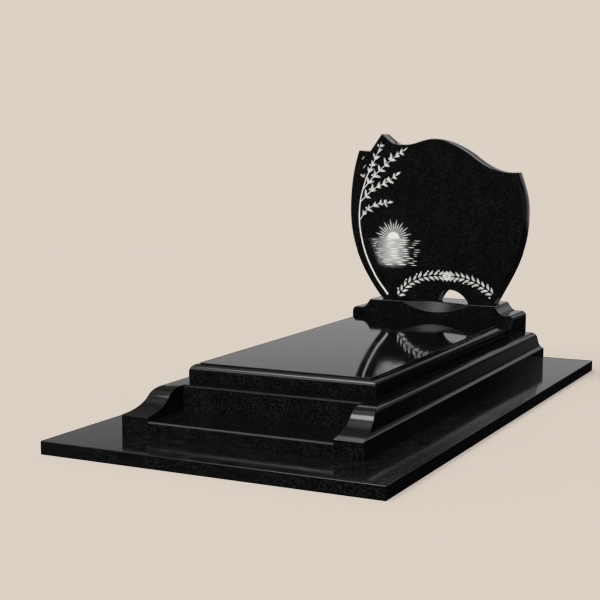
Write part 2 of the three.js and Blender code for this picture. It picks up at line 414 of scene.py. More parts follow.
def etched_face_granite():
    """The headstone's face: mirror polish, and pale frosted stone where the blast has broken it.

    The mesh carries an "etch" value. A full value is solid frosting, and a part value turns into
    stippled dots, as an engraver's needle leaves them.
    """
    finish = setting("finish")
    material, tree, shader = new_material("etched_face_granite")
    grain, place = granite_grain(tree)
    tone = add_node(
        tree, "ShaderNodeAttribute", attribute_name="etch", attribute_type="GEOMETRY"
    ).outputs["Fac"]
    dots = add_node(
        tree,
        "ShaderNodeTexNoise",
        values={"Scale": 1 / (2.5 * MM), "Detail": 1.0},
        links={"Vector": place},
    )
    lifted = add_node(
        tree,
        "ShaderNodeMath",
        values={1: 0.55},
        links={0: dots.outputs["Fac"]},
        operation="SUBTRACT",
    )
    stipple = add_node(
        tree,
        "ShaderNodeMath",
        links={0: lifted.outputs["Value"], 1: tone},
        operation="ADD",
    )
    frosted = add_node(
        tree,
        "ShaderNodeMapRange",
        values={"From Min": 0.18, "From Max": 0.62},
        links={"Value": stipple.outputs["Value"]},
        interpolation_type="SMOOTHSTEP",
    )
    seen = add_node(
        tree,
        "ShaderNodeMath",
        links={0: frosted.outputs["Result"], 1: tone},
        operation="MULTIPLY",
        use_clamp=True,
    )
    mixed = add_node(
        tree,
        "ShaderNodeMix",
        values={7: linear(finish.frosted)},
        links={0: seen.outputs["Value"], 6: grain},
        data_type="RGBA",
    )
    rough = add_node(
        tree,
        "ShaderNodeMapRange",
        values={"To Min": 0.05, "To Max": 0.8},
        links={"Value": seen.outputs["Value"]},
    )
    tree.links.new(mixed.outputs[2], shader.inputs["Base Color"])
    tree.links.new(rough.outputs["Result"], shader.inputs["Roughness"])
    shader.inputs["IOR"].default_value = GRANITE_IOR
    return material


def get_material(maker):
    """The material that a maker function makes, made once."""
    return bpy.data.materials.get(maker.__name__) or maker()


# Meshes

ARRIS_PROFILE = 0.35  # nearly a flat chamfer, which catches a clear line of light
FACES_DOWN = -0.9


def mesh_object(name, bm):
    """Puts a bmesh into a new object and frees it."""
    bmesh.ops.recalc_face_normals(bm, faces=bm.faces)
    mesh = bpy.data.meshes.new(name)
    bm.to_mesh(mesh)
    bm.free()
    piece = bpy.data.objects.new(name, mesh)
    bpy.context.scene.collection.objects.link(piece)
    return piece


def bake_modifiers(piece):
    """Applies the object's modifiers to its mesh."""
    bpy.context.view_layer.update()
    graph = bpy.context.evaluated_depsgraph_get()
    mesh = bpy.data.meshes.new_from_object(piece.evaluated_get(graph))
    piece.modifiers.clear()
    piece.data = mesh


def loft(name, rings):
    """A closed body through rings of as many points each, one above the other."""
    bm = bmesh.new()
    loops = [[bm.verts.new(point) for point in ring] for ring in rings]
    count = len(rings[0])
    for low, high in zip(loops, loops[1:]):
        for i in range(count):
            j = (i + 1) % count
            bm.faces.new((low[i], low[j], high[j], high[i]))
    bm.faces.new(reversed(loops[0]))
    bm.faces.new(loops[-1])
    return mesh_object(name, bm)


def box(name, low, high):
    """A plain box, used as a cutter."""
    plan = [(low[0], low[1]), (high[0], low[1]), (high[0], high[1]), (low[0], high[1])]
    return loft(name, [[(x, y, z) for x, y in plan] for z in (low[2], high[2])])


def combine(piece, cutter, operation):
    """Cuts the piece by the cutter, or keeps what both share, and removes the cutter."""
    step = piece.modifiers.new("cut", "BOOLEAN")
    step.operation = operation
    step.solver = "EXACT"
    step.object = cutter
    bake_modifiers(piece)
    bpy.data.objects.remove(cutter)


def ease_edges(piece, width_at, sharper_than=math.radians(14), segments=3):
    """Rounds each outward edge that is sharp enough, by the width that width_at gives for it."""
    bm = bmesh.new()
    bm.from_mesh(piece.data)
    weight = bm.edges.layers.float.new("bevel_weight_edge")
    widths = {}
    for edge in bm.edges:
        if edge.is_manifold and edge.is_convex and edge.calc_face_angle() > sharper_than:
            widths[edge] = width_at(edge)
    widest = max(widths.values())
    for edge, width in widths.items():
        edge[weight] = width / widest
    bm.to_mesh(piece.data)
    bm.free()
    step = piece.modifiers.new("arris", "BEVEL")
    step.limit_method = "WEIGHT"
    step.width = widest
    step.segments = segments
    step.profile = ARRIS_PROFILE
    step.use_clamp_overlap = False
    bake_modifiers(piece)


def smooth(piece, sharp_angle=math.radians(36)):
    """Smooth shading that keeps flat faces flat and true corners sharp."""
    mesh = piece.data
    mesh.polygons.foreach_set("use_smooth", [True] * len(mesh.polygons))
    mesh.set_sharp_from_angle(angle=sharp_angle)
    step = piece.modifiers.new("normals", "WEIGHTED_NORMAL")
    step.keep_sharp = True
    step.weight = 90
    bake_modifiers(piece)


def finish_piece(piece, nodes, top, under=sawn_granite):
    """Gives the piece its materials and puts it in the place of its solid."""
    piece.data.materials.clear()
    piece.data.materials.append(get_material(top))
    piece.data.materials.append(get_material(under))
    for face in piece.data.polygons:
        face.material_index = 1 if face.normal.z < FACES_DOWN else 0
    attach(piece, "root")
    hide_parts(*nodes)


def kerb_fall(y):
    """How much higher the kerb is here than at its foot."""
    return setting("kerb").rise * (y - kerb_foot) / (kerb_head - kerb_foot)


def plan_ring(half, foot, head, height, sloping=False):
    """A level rectangle, or one that rises toward the head with the kerb."""
    corners = [(-half, foot), (half, foot), (half, head), (-half, head)]
    return [(x, y, height + (kerb_fall(y) if sloping else 0)) for x, y in corners]


# Base slab


class MONUMENT_OT_base(bpy.types.Operator):
    """Build the thin slab that everything stands on"""

    bl_idname = "monument.base"
    bl_label = "Base slab"

    def execute(self, context):
        arris = setting("arris")
        rings = [
            plan_ring(base_high.x, base_low.y, base_high.y, z) for z in (base_low.z, base_high.z)
        ]
        piece = loft("base_slab_polished", rings)
        ease_edges(piece, lambda edge: arris.plain)
        smooth(piece)
        finish_piece(piece, ["base_slab"], wiped_polished_granite)
        return {"FINISHED"}


# Kerb

KERB_STEPS = 26


def moulding_shares():
    """The moulding as shares of its reach at the foot, its reach at the sides, and its rise.

    It flares out hollow from the band, turns over and runs level into the top.
    """
    hollow = [(0, 0, 0), (0.31, 0.3, 0.09), (0.51, 0.38, 0.33), (0.605, 0.45, 0.64)]
    turned = [(0.605, 0.45, 0.64), (0.69, 0.53, 0.92), (0.81, 0.78, 1), (1, 1, 1)]
    steps = []
    for part in (hollow, turned):
        sides = [Vector((side, rise)) for _, side, rise in part]
        feet = [Vector((foot, rise)) for foot, _, rise in part]
        feet, sides = (interpolate_bezier(*line, KERB_STEPS) for line in (feet, sides))
        steps += [(foot.x, side.x, foot.y) for foot, side in zip(feet, sides)][bool(steps) :]
    return steps


def whole_kerb(name):
    """The kerb as one closed block, before it is parted and cut."""
    kerb = setting("kerb")
    rings = [plan_ring(kerb_half, kerb_foot, kerb_head, foot_low.z)]
    moulding = kerb.height - kerb.band_height
    for at_foot, at_side, rise in moulding_shares():
        rings.append(
            plan_ring(
                kerb_half - at_side * kerb.side_moulding,
                kerb_foot + at_foot * kerb.end_moulding,
                kerb_head - at_side * kerb.side_moulding,
                base_high.z + kerb.band_height + rise * moulding,
                sloping=True,
            )
        )
    return loft(name, rings)


def kerb_stretch(name, x_range, y_range):
    """The stretch of the kerb within these bounds."""
    piece = whole_kerb(name)
    low = (x_range[0], y_range[0], 0)
    high = (x_range[1], y_range[1], stone_low.z)
    combine(piece, box("stretch", low, high), "INTERSECT")
    return piece


def arris_width(joints):
    """Chooses a fine arris for edges in a joint's plane and a plain one for the others."""
    arris = setting("arris")

    def width_at(edge):
        for joint in joints:
            if all(abs(v.co.y - joint) < 0.1 * MM for v in edge.verts):
                return arris.joint
        if all(abs(v.co.z - foot_low.z) < 0.1 * MM for v in edge.verts):
            return arris.joint
        return arris.plain

    return width_at


class MONUMENT_OT_kerb_foot(bpy.types.Operator):
    """Build the foot end of the kerb, with the flower recess between its two arms"""

    bl_idname = "monument.kerb_foot"
    bl_label = "Kerb foot block"

    def execute(self, context):
        kerb = setting("kerb")
        arris = setting("arris")
        wall = kerb_foot + kerb.recess_depth
        shelf = base_high.z + kerb.shelf_height
        inside = kerb_half - kerb.arm_width
        piece = kerb_stretch(
            "kerb_foot_block_polished", (-far_out, far_out), (-far_out, foot_high.y)
        )
        recess_low = (-inside, kerb_foot - kerb.recess_depth, shelf)
        recess_high = (inside, wall, stone_low.z)
        combine(piece, box("recess", recess_low, recess_high), "DIFFERENCE")
        usual = arris_width([foot_high.y])

        def width_at(edge):
            ends = [v.co for v in edge.verts]
            middle = (ends[0] + ends[1]) / 2
            across = abs(ends[0].x - ends[1].x) > inside
            at_shelf = abs(middle.z - shelf) < 0.1 * MM and middle.y < kerb_foot + MM
            at_wall = abs(middle.y - wall) < 0.1 * MM and middle.z > shelf + MM
            if across and (at_shelf or at_wall):
                return arris.bold
            return usual(edge)

        ease_edges(piece, width_at)
        smooth(piece)
        finish_piece(piece, ["kerb_foot_block"], mirror_polished_granite)
        return {"FINISHED"}


class MONUMENT_OT_kerb_rails(bpy.types.Operator):
    """Build the two long sides of the kerb"""

    bl_idname = "monument.kerb_rails"
    bl_label = "Kerb rails"

    def execute(self, context):
        sides = {"left": (-far_out, -rail_low.x), "right": (rail_low.x, far_out)}
        for side, x_range in sides.items():
            node = f"kerb_{side}_rail"
            piece = kerb_stretch(node + "_polished", x_range, (rail_low.y, rail_high.y))
            ease_edges(piece, arris_width([rail_low.y, rail_high.y]))
            smooth(piece)
            finish_piece(piece, [node], mirror_polished_granite)
        return {"FINISHED"}


class MONUMENT_OT_kerb_head(bpy.types.Operator):
    """Build the head end of the kerb, under the plinth"""

    bl_idname = "monument.kerb_head"
    bl_label = "Kerb head block"

    def execute(self, context):
        piece = kerb_stretch(
            "kerb_head_block_polished", (-far_out, far_out), (head_low.y, far_out)
        )
        ease_edges(piece, arris_width([head_low.y]))
        smooth(piece)
        finish_piece(piece, ["kerb_head_block"], mirror_polished_granite)
        return {"FINISHED"}


# Ledger

ROUND_STEPS = 16


class MONUMENT_OT_ledger(bpy.types.Operator):
    """Build the cover slab, with its rounded and stepped edge"""

    bl_idname = "monument.ledger"
    bl_label = "Ledger"

    def execute(self, context):
        sizes = setting("ledger")
        arris = setting("arris")
        bottom = ledger_low.z - kerb_fall(ledger_low.y)
        top = ledger_high.z - kerb_fall(ledger_high.y)
        step_bottom = top - sizes.step

        def ring(inset, height):
            return plan_ring(
                ledger_high.x - inset, ledger_low.y + inset, ledger_high.y, height, sloping=True
            )

        rings = [ring(0, bottom)]
        for step in range(ROUND_STEPS + 1):
            turn = math.pi / 2 * step / ROUND_STEPS
            drop = sizes.rounding * (1 - math.sin(turn))
            rings.append(ring(sizes.rounding * (1 - math.cos(turn)), step_bottom - drop))
        rings.append(ring(sizes.rounding + sizes.step, step_bottom))
        rings.append(ring(sizes.rounding + sizes.step, top))
        piece = loft("ledger_polished", rings)
        ease_edges(piece, lambda edge: arris.joint)
        smooth(piece)
        finish_piece(piece, ["ledger"], mirror_polished_granite)
        return {"FINISHED"}


# Plinth

DISH_FACETS = 480
DISH_TILT = 0.3
SMALLEST_DISH_FACE = 4 * MM**2


def arc(centre, radius, start, end, steps):
    """Points on an arc in X and Z. Angles are in degrees."""
    turns = [math.radians(start + (end - start) * i / steps) for i in range(steps + 1)]
    return [
        Vector((centre[0] + radius * math.cos(t), centre[1] + radius * math.sin(t))) for t in turns
    ]


def plinth_outline():
    """The plinth's front outline in X and Z: nose, ledge and cove at each end."""
    sizes = setting("plinth")
    half = plinth_high.x
    top = plinth_high.z
    ledge = top - sizes.shoulder_drop
    nose = half - sizes.nose_radius
    cove_out = nose - sizes.ledge_width
    cove_in = cove_out - sizes.cove_width
    middle = (cove_out + cove_in) / 2
    third = 2 / 3
    start = Vector((cove_out, ledge))
    pull = Vector((middle, ledge))
    end = Vector((cove_in, top))
    right = [Vector((half, plinth_low.z - setting("kerb").rise))]
    right += arc((nose, ledge - sizes.nose_radius), sizes.nose_radius, 0, 90, ROUND_STEPS)
    right += interpolate_bezier(
        start, start.lerp(pull, third), end.lerp(pull, third), end, ROUND_STEPS
    )
    left = [Vector((-point.x, point.y)) for point in reversed(right)]
    return right + left


def dish_cutter():
    """A tilted cylinder, deepest at the plinth's front and run out at the headstone's face."""
    sizes = setting("plinth")
    setback = stone_low.y - plinth_low.y
    radius = (sizes.dish_width**2 / 4 + sizes.dish_depth**2) / (2 * sizes.dish_depth)
    tilt = math.atan2(sizes.dish_depth, setback)
    reach = 2 * setback / math.cos(tilt)
    facets = DISH_FACETS
    turn = Matrix.Rotation(tilt, 4, "X")
    move = Matrix.Translation((sizes.dish_offset, stone_low.y, plinth_high.z))
    rings = []
    for y in (-reach, reach):
        turns = [math.tau * i / facets for i in range(facets)]
        circle = [Vector((radius * math.sin(t), y, radius * (1 - math.cos(t)))) for t in turns]
        rings.append([move @ turn @ point for point in circle])
    return loft("dish", rings)


class MONUMENT_OT_plinth(bpy.types.Operator):
    """Build the block under the headstone, with its shaped ends and the dish in its top"""

    bl_idname = "monument.plinth"
    bl_label = "Plinth"

    def execute(self, context):
        arris = setting("arris")
        outline = plinth_outline()
        rings = [[(p.x, y, p.y) for p in outline] for y in (plinth_low.y, plinth_high.y)]
        piece = loft("plinth_polished", rings)
        seat = plinth_low.z - kerb_fall(plinth_low.y)
        bed = [
            plan_ring(far_out, kerb_foot, kerb_head, -far_out),
            plan_ring(far_out, kerb_foot, kerb_head, seat, sloping=True),
        ]
        combine(piece, loft("bed", bed), "DIFFERENCE")
        combine(piece, dish_cutter(), "DIFFERENCE")
        ease_edges(piece, lambda edge: arris.joint * 2)
        smooth(piece)
        finish_piece(piece, ["plinth"], mirror_polished_granite)
        piece.data.materials.append(get_material(honed_granite))
        honed = len(piece.data.materials) - 1
        for face in piece.data.polygons:
            tilted = face.normal.y < -DISH_TILT and face.normal.z > DISH_TILT
            if tilted and face.center.y < stone_low.y and face.area > SMALLEST_DISH_FACE:
                face.material_index = honed
        return {"FINISHED"}


# Headstone

OUTLINE_STEPS = 22
ARRIS_STEPS = 5


def bezier_chain(start, curves):
    """Points along curves that follow each other. A curve is one end point, or handles and end."""
    points = [Vector(start)]
    for curve in curves:
        ends = [Vector(p) for p in curve]
        if len(ends) == 1:
            points.append(ends[0])
            continue
        points += interpolate_bezier(points[-1], *ends, OUTLINE_STEPS)[1:]
    return points


def shield_points():
    """The uneven shield outline from its right foot up, over and down to its left foot."""
    return bezier_chain(
        (0.338, 0),
        [
            [(0.407, 0.153), (0.5, 0.286), (0.5, 0.53)],
            [(0.5, 0.63), (0.482, 0.68), (0.451, 0.777)],
            [(0.355, 0.772), (0.289, 0.804), (0.213, 0.865)],
            [(0.143, 0.926), (0.04, 0.973), (-0.01, 0.972)],
            [(-0.075, 0.971), (-0.115, 0.938), (-0.17, 0.937)],
            [(-0.25, 0.936), (-0.25, 0.938), (-0.318, 1)],
            [(-0.391, 0.887)],
            [(-0.388, 0.896)],
            [(-0.452, 0.901)],
            [(-0.49, 0.78), (-0.5, 0.65), (-0.5, 0.55)],
            [(-0.5, 0.32), (-0.411, 0.152), (-0.297, 0)],
        ],
    )


def opening_points():
    """The small opening from its left foot over the crown to its right foot."""
    sizes = setting("headstone")
    left = sizes.arch_offset - sizes.arch_width / 2
    right = sizes.arch_offset + sizes.arch_width / 2
    crown = left + sizes.arch_width * sizes.crown_share
    rise = crown - left
    fall = right - crown
    height = sizes.arch_height
    return bezier_chain(
        (left, 0),
        [
            [(left + rise * 0.2, height * 0.6), (crown - rise * 0.5, height), (crown, height)],
            [(crown + fall * 0.45, height), (right - fall * 0.12, height * 0.5), (right, 0)],
        ],
    )


def headstone_loop():
    """The whole outline in X and Z above the stone's foot, with the opening as a notch in it."""
    shield = [
        Vector((stone_middle + p.x * stone_width, p.y * stone_height)) for p in shield_points()
    ]
    return shield + opening_points()


def inset_loop(loop, distance):
    """The loop moved inward by a distance. The loop runs anticlockwise."""
    moved = []
    for i, point in enumerate(loop):
        before = (point - loop[i - 1]).normalized()
        after = (loop[(i + 1) % len(loop)] - point).normalized()
        inward = Vector((-before.y, before.x))
        other = Vector((-after.y, after.x))
        mitre = (inward + other) / (1 + inward.dot(other))
        moved.append(point + mitre * distance)
    return moved


def anticlockwise(loop):
    """The loop, turned round if it runs clockwise."""
    doubled = sum(a.x * b.y - b.x * a.y for a, b in zip(loop, loop[1:] + loop[:1]))
    return loop if doubled > 0 else loop[::-1]


def inside(point, loop):
    """Whether a point lies inside a closed loop."""
    crossings = False
    for a, b in zip(loop, loop[1:] + loop[:1]):
        if (a.y > point.y) != (b.y > point.y):
            if point.x < a.x + (b.x - a.x) * (point.y - a.y) / (b.y - a.y):
                crossings = not crossings
    return crossings


# The etched design, drawn in metres right of the stone's middle and above its foot


def smooth_path(points, steps=10):
    """A soft curve through the points."""
    knots = [Vector(p) for p in points]
    knots = [knots[0] * 2 - knots[1]] + knots + [knots[-1] * 2 - knots[-2]]
    path = []
    for a, b, c, d in zip(knots, knots[1:], knots[2:], knots[3:]):
        path += interpolate_bezier(b, b + (c - a) / 6, c - (d - b) / 6, c, steps)[:-1]
    return path + [knots[-2]]


def along(path, share):
    """A point on the path and the path's direction there."""
    place = share * (len(path) - 1)
    index = min(int(place), len(path) - 2)
    step = path[index + 1] - path[index]
    return path[index] + step * (place - index), step.normalized()


def ribbon(path, thick, thin):
    """A stem or line that tapers from one end to the other."""
    left, right = [], []
    for i, point in enumerate(path):
        share = i / (len(path) - 1)
        _, way = along(path, share)
        half = (thick + (thin - thick) * share) / 2
        side = Vector((-way.y, way.x)) * half
        left.append(point + side)
        right.append(point - side)
    return right + left[::-1]


def turned(way, angle):
    """A direction turned by an angle in radians."""
    return Matrix.Rotation(angle, 2) @ way


def leaf(root, way, size, width, rib, bend=0.08):
    """Two half blades with a polished rib between them."""
    steps = 7
    across = Vector((-way.y, way.x))
    halves = []
    for side in (1, -1):
        inner, outer = [], []
        for i in range(steps + 1):
            share = i / steps
            spine = root + way * size * share + across * size * bend * math.sin(math.pi * share)
            swell = math.sin(math.pi * share**0.85) * width / 2
            opening = math.sin(math.pi * min(share * 2, 1) / 2)
            inner.append(spine + across * side * rib / 2 * opening)
            outer.append(spine + across * side * max(swell, rib / 2))
        halves.append(inner + outer[::-1])
    return halves


def stroke(middle, way, size, thickness):
    """A single cut of the graver, thick in the middle and pointed at both ends."""
    across = Vector((-way.y, way.x))
    steps = 6
    low, high = [], []
    for i in range(steps + 1):
        share = i / steps
        spine = middle + way * size * (share - 0.5)
        half = thickness / 2 * math.sin(math.pi * share)
        low.append(spine - across * half)
        high.append(spine + across * half)
    return low + high[-2:0:-1]


def oval(middle, wide, high, steps=12):
    """An ellipse."""
    turns = [math.tau * i / steps for i in range(steps)]
    return [middle + Vector((wide / 2 * math.cos(t), high / 2 * math.sin(t))) for t in turns]


def olive_spray(points, thick, leaves, dice, size_share=1.0):
    """A tapering stem with paired leaves, a leaf at its tip and a few olives."""
    sizes = setting("etching")
    path = smooth_path([Vector(p) * MM for p in points])
    shapes = [ribbon(path, thick * MM, 1.4 * MM)]
    for i in range(leaves):
        share = (i + 0.8) / (leaves + 0.4)
        root, way = along(path, share)
        size = sizes.leaf_length * size_share * (1 - 0.25 * share)
        for side in (1, -1):
            angle = side * math.radians(dice.uniform(28, 62))
            grown = size * dice.uniform(0.74, 1.18)
            width = sizes.leaf_width * size_share * dice.uniform(0.9, 1.1)
            shapes += leaf(root, turned(way, angle), grown, width, sizes.rib, -0.1 * side)
        if i % 3 == 1:
            fruit = root + turned(way, math.radians(80)) * 9 * MM
            shapes.append(oval(fruit, 7 * MM, 8.5 * MM))
    tip, way = along(path, 1)
    shapes += leaf(tip, way, sizes.leaf_length * size_share * 0.8, sizes.leaf_width, sizes.rib)
    return shapes


def olive_bough(dice):
    """A bough that climbs the left edge, with sprays to the right of it."""
    trunk = [(-196, 18), (-252, 92), (-300, 190), (-325, 300), (-322, 400), (-298, 490)]
    sprays = [
        ([(-298, 490), (-262, 560), (-232, 632)], 4.0, 5, 0.9),
        ([(-308, 460), (-312, 525), (-318, 580)], 3.0, 3, 0.7),
        ([(-310, 445), (-250, 510), (-190, 562), (-140, 598)], 4.0, 7, 0.95),
        ([(-322, 392), (-268, 442), (-214, 470), (-168, 500)], 3.6, 6, 0.9),
        ([(-324, 318), (-292, 360), (-246, 384), (-202, 390)], 3.2, 5, 0.85),
    ]
    path = smooth_path([Vector(p) * MM for p in trunk])
    shapes = [ribbon(path, 7.5 * MM, 4 * MM)]
    for points, thick, leaves, size_share in sprays:
        shapes += olive_spray(points, thick, leaves, dice, size_share)
    return shapes


def laurel_garland(dice):
    """Two rows of laurel leaves that rise from both feet to a rosette over the opening."""
    sizes = setting("etching")
    crown = Vector((56, 104)) * MM
    arms = [
        [(-150, 16), (-112, 62), (-58, 92), (0, 104), (56, 104)],
        [(262, 30), (218, 62), (165, 88), (110, 102), (56, 104)],
    ]
    shapes = []
    for points in arms:
        path = smooth_path([Vector(p) * MM for p in points])
        pairs = 10
        for i in range(pairs):
            root, way = along(path, i / pairs * 0.94)
            for side in (1, -1):
                angle = side * math.radians(dice.uniform(33, 43))
                start = root + turned(way, side * math.pi / 2) * 3 * MM
                size = sizes.garland_leaf * dice.uniform(0.85, 1.05)
                width = sizes.garland_width * dice.uniform(0.85, 1.0)
                shapes += leaf(start, turned(way, angle), size, width, sizes.rib, -0.1 * side)
            if i % 2:
                berry = root + turned(way, math.pi / 2) * 19 * MM
                shapes.append(oval(berry, 6.5 * MM, 6.5 * MM, 10))
    petals = 8
    for i in range(petals):
        way = turned(Vector((1, 0)), math.tau * i / petals)
        shapes += leaf(crown + way * 5 * MM, way, 17 * MM, 11 * MM, sizes.rib)
    shapes.append(oval(crown, 8 * MM, 8 * MM))
    return shapes


SUN = Vector((-176, 246))
SUN_RADIUS = 27
WATER_LOW = 132


def sunrise_rays():
    """A half sun on the horizon, with rays that spread above it."""
    arc_points = arc(SUN, SUN_RADIUS, 0, 180, 20)
    shapes = [[p * MM for p in arc_points]]
    rays = 17
    for i in range(rays):
        way = turned(Vector((1, 0)), math.pi * (i + 0.5) / rays)
        long = 46 if i % 2 else 30
        middle = SUN + way * (SUN_RADIUS + 8 + long / 2)
        shapes.append(stroke(middle * MM, way, long * MM, 3.2 * MM))
    return shapes


def water_strokes(dice):
    """Rows of level strokes below the horizon, closest and brightest under the sun."""
    sizes = setting("etching")
    shapes = []
    rows = int((SUN.y - WATER_LOW) * MM / sizes.ripple_gap)
    for row in range(rows):
        depth = (row + 0.6) / rows
        z = SUN.y - (row + 0.6) * sizes.ripple_gap / MM
        left = -286 + 70 * depth**1.6
        right = -40 - 60 * depth
        x = left + dice.uniform(0, 22)
        while x < right:
            glint = math.exp(-(((x - SUN.x) / 60) ** 2))
            long = dice.uniform(14, 30) + 26 * glint
            thick = 1.6 + 2.6 * glint + 1.4 * depth * glint
            place = Vector((x + long / 2, z + dice.uniform(-1.5, 1.5))) * MM
            shapes.append(stroke(place, Vector((1, 0)), long * MM, thick * MM))
            x += long + dice.uniform(5, 14) + 26 * (1 - glint)
    return shapes


def soft_tone(point):
    """How much of the polish the needle has stippled away at a point, from 0 to 1."""
    x, z = point.x / MM, point.y / MM
    reach = math.hypot(x - SUN.x, z - SUN.y)
    right_fade = 1 / (1 + math.exp((x + 95) / 18))
    left_fade = 1 / (1 + math.exp(-(x + 292 - 0.45 * max(SUN.y - z, 0)) / 5))
    if z >= SUN.y:
        return 0.75 * math.exp(-((reach / 62) ** 2)) * right_fade * left_fade
    low_fade = 1 / (1 + math.exp(-(z - WATER_LOW) / 9))
    glint = math.exp(-(((x - SUN.x) / 70) ** 2))
    return (0.25 + 0.45 * glint) * right_fade * low_fade * left_fade


def etched_shapes(limit):
    """Every etched shape that stays within the limit loop, placed on the stone."""
    dice = random.Random(7)
    shapes = olive_bough(dice) + laurel_garland(dice) + sunrise_rays() + water_strokes(dice)
    shift = Vector((stone_middle, 0))
    placed = [anticlockwise([point + shift for point in shape]) for shape in shapes]
    return [shape for shape in placed if all(inside(point, limit) for point in shape)]


def tone_points(limit):
    """Spare points in the softly stippled area, which carry its tone."""
    gap = setting("etching").tone_grid
    points = []
    x = stone_low.x
    while x < stone_middle + 20 * MM:
        z = 90 * MM
        while z < 340 * MM:
            place = Vector((x, z))
            if inside(place, limit):
                points.append(place)
            z += gap
        x += gap
    return points


def face_triangles(loop):
    """Fills the front face. Returns its points, triangles, which are etched, and point origins."""
    sizes = setting("etching")
    limit = inset_loop(loop, sizes.margin)
    shapes = etched_shapes(limit)
    points = list(loop)
    outlines = [list(range(len(loop)))]
    for shape in shapes:
        start = len(points)
        points += shape
        outlines.append(list(range(start, len(points))))
    points += tone_points(limit)
    result = delaunay_2d_cdt(points, [], outlines, 1, 1e-6, True)
    places, _, triangles, origins, _, owners = result
    kept = [(face, any(owned)) for face, owned in zip(triangles, owners) if 0 in owned]
    return places, [face for face, _ in kept], [is_etched for _, is_etched in kept], origins


def put_in_order(parts, place):
    """Sorts a mesh's vertices, edges or faces by the place that a function gives for each."""
    for rank, part in enumerate(sorted(parts, key=lambda part: tuple(place(part)))):
        part.index = rank
    parts.sort()


def headstone_mesh():
    """The stone as one closed mesh: an etched front, eased edges, sides and a plain back."""
    arris = setting("arris").plain
    depth = setting("etching").depth
    foot = stone_low.z
    loop = headstone_loop()
    rings = []
    for step in range(ARRIS_STEPS + 1):
        turn = math.pi / 2 * step / ARRIS_STEPS
        rings.append((arris * (1 - math.sin(turn)), stone_low.y + arris * (1 - math.cos(turn))))
    rings += [(inset, stone_high.y - (y - stone_low.y)) for inset, y in reversed(rings)]
    bm = bmesh.new()
    loops = []
    for inset, y in rings:
        loops.append([bm.verts.new((p.x, y, foot + p.y)) for p in inset_loop(loop, inset)])
    count = len(loop)
    for near, far in zip(loops, loops[1:]):
        for i in range(count):
            j = (i + 1) % count
            bm.faces.new((near[i], far[i], far[j], near[j]))
    bm.faces.new(loops[-1])
    front_loop = inset_loop(loop, arris)
    places, triangles, etched, origins = face_triangles(front_loop)
    corners = []
    for place, origin in zip(places, origins):
        rim = [i for i in origin if i < count]
        corner = loops[0][rim[0]] if rim else bm.verts.new((place.x, stone_low.y, foot + place.y))
        corners.append(corner)
    cut = []
    for triangle, is_etched in zip(triangles, etched):
        face = bm.faces.new([corners[i] for i in triangle])
        if is_etched:
            cut.append(face)
    tone = bm.verts.layers.float.new("etch")
    for vertex in bm.verts:
        if vertex.co.y <= stone_low.y + 0.01 * MM:
            on_stone = Vector((vertex.co.x - stone_middle, vertex.co.z - foot))
            vertex[tone] = soft_tone(on_stone)
    made = bmesh.ops.extrude_face_region(bm, geom=cut)["geom"]
    for vertex in [item for item in made if isinstance(item, bmesh.types.BMVert)]:
        vertex.co.y += depth
        vertex[tone] = 1.0
    bmesh.ops.delete(bm, geom=cut, context="FACES")
    # The extrusion leaves its parts in no fixed order, so they are put in order of place.
    put_in_order(bm.verts, lambda vertex: vertex.co)
    put_in_order(bm.edges, lambda edge: edge.verts[0].co + edge.verts[1].co)
    put_in_order(bm.faces, lambda face: face.calc_center_median())
    return bm


class MONUMENT_OT_headstone(bpy.types.Operator):
    """Build the upright stone, with its opening and the etched design on its face"""

    bl_idname = "monument.headstone"
    bl_label = "Headstone"

    def execute(self, context):
        piece = mesh_object("headstone_polished", headstone_mesh())
        mesh = piece.data
        mesh.polygons.foreach_set("use_smooth", [True] * len(mesh.polygons))
        mesh.set_sharp_from_angle(angle=math.radians(25))
        flat = [abs(face.normal.y) > 0.999 for face in mesh.polygons]
        for face, is_flat in zip(mesh.polygons, flat):
            if is_flat:
                face.use_smooth = False
        finish_piece(piece, ["headstone"], etched_face_granite)
        return {"FINISHED"}


# Stage


def studio_floor():
    """A round pale floor that runs into the backdrop and only shows the shadow on it."""
    sizes = setting("stage")
    bm = bmesh.new()
    bmesh.ops.create_circle(bm, cap_ends=True, segments=96, radius=sizes.floor_radius)
    floor = mesh_object("studio_floor", bm)
    material, _, shader = new_material("matt_painted_floor")
    shader.inputs["Base Color"].default_value = linear(setting("finish").floor)
    shader.inputs["Roughness"].default_value = 0.9
    floor.data.materials.append(material)
    floor.is_shadow_catcher = True
    floor.visible_glossy = False
    floor.visible_diffuse = False


def height_curve(tree, source, stops):
    """A soft curve through pairs of height and brightness."""
    curve = add_node(tree, "ShaderNodeFloatCurve", links={"Value": source})
    line = curve.mapping.curves[0]
    line.points[0].location = stops[0]
    line.points[1].location = stops[-1]
    for stop in stops[1:-1]:
        line.points.new(*stop)
    curve.mapping.update()
    return curve.outputs["Value"]


def glow(tree, way, centre, reach, core, brightness):
    """A soft lamp in the room in one direction. Reach and core are its outer and inner radius."""
    aim = add_node(
        tree,
        "ShaderNodeVectorMath",
        values={1: Vector(centre).normalized()},
        links={0: way},
        operation="DOT_PRODUCT",
    ).outputs["Value"]
    return add_node(
        tree,
        "ShaderNodeMapRange",
        values={
            "From Min": math.cos(math.radians(reach)),
            "From Max": math.cos(math.radians(core)),
            "To Min": 0.0,
            "To Max": brightness,
        },
        links={"Value": aim},
        interpolation_type="SMOOTHSTEP",
    ).outputs["Result"]


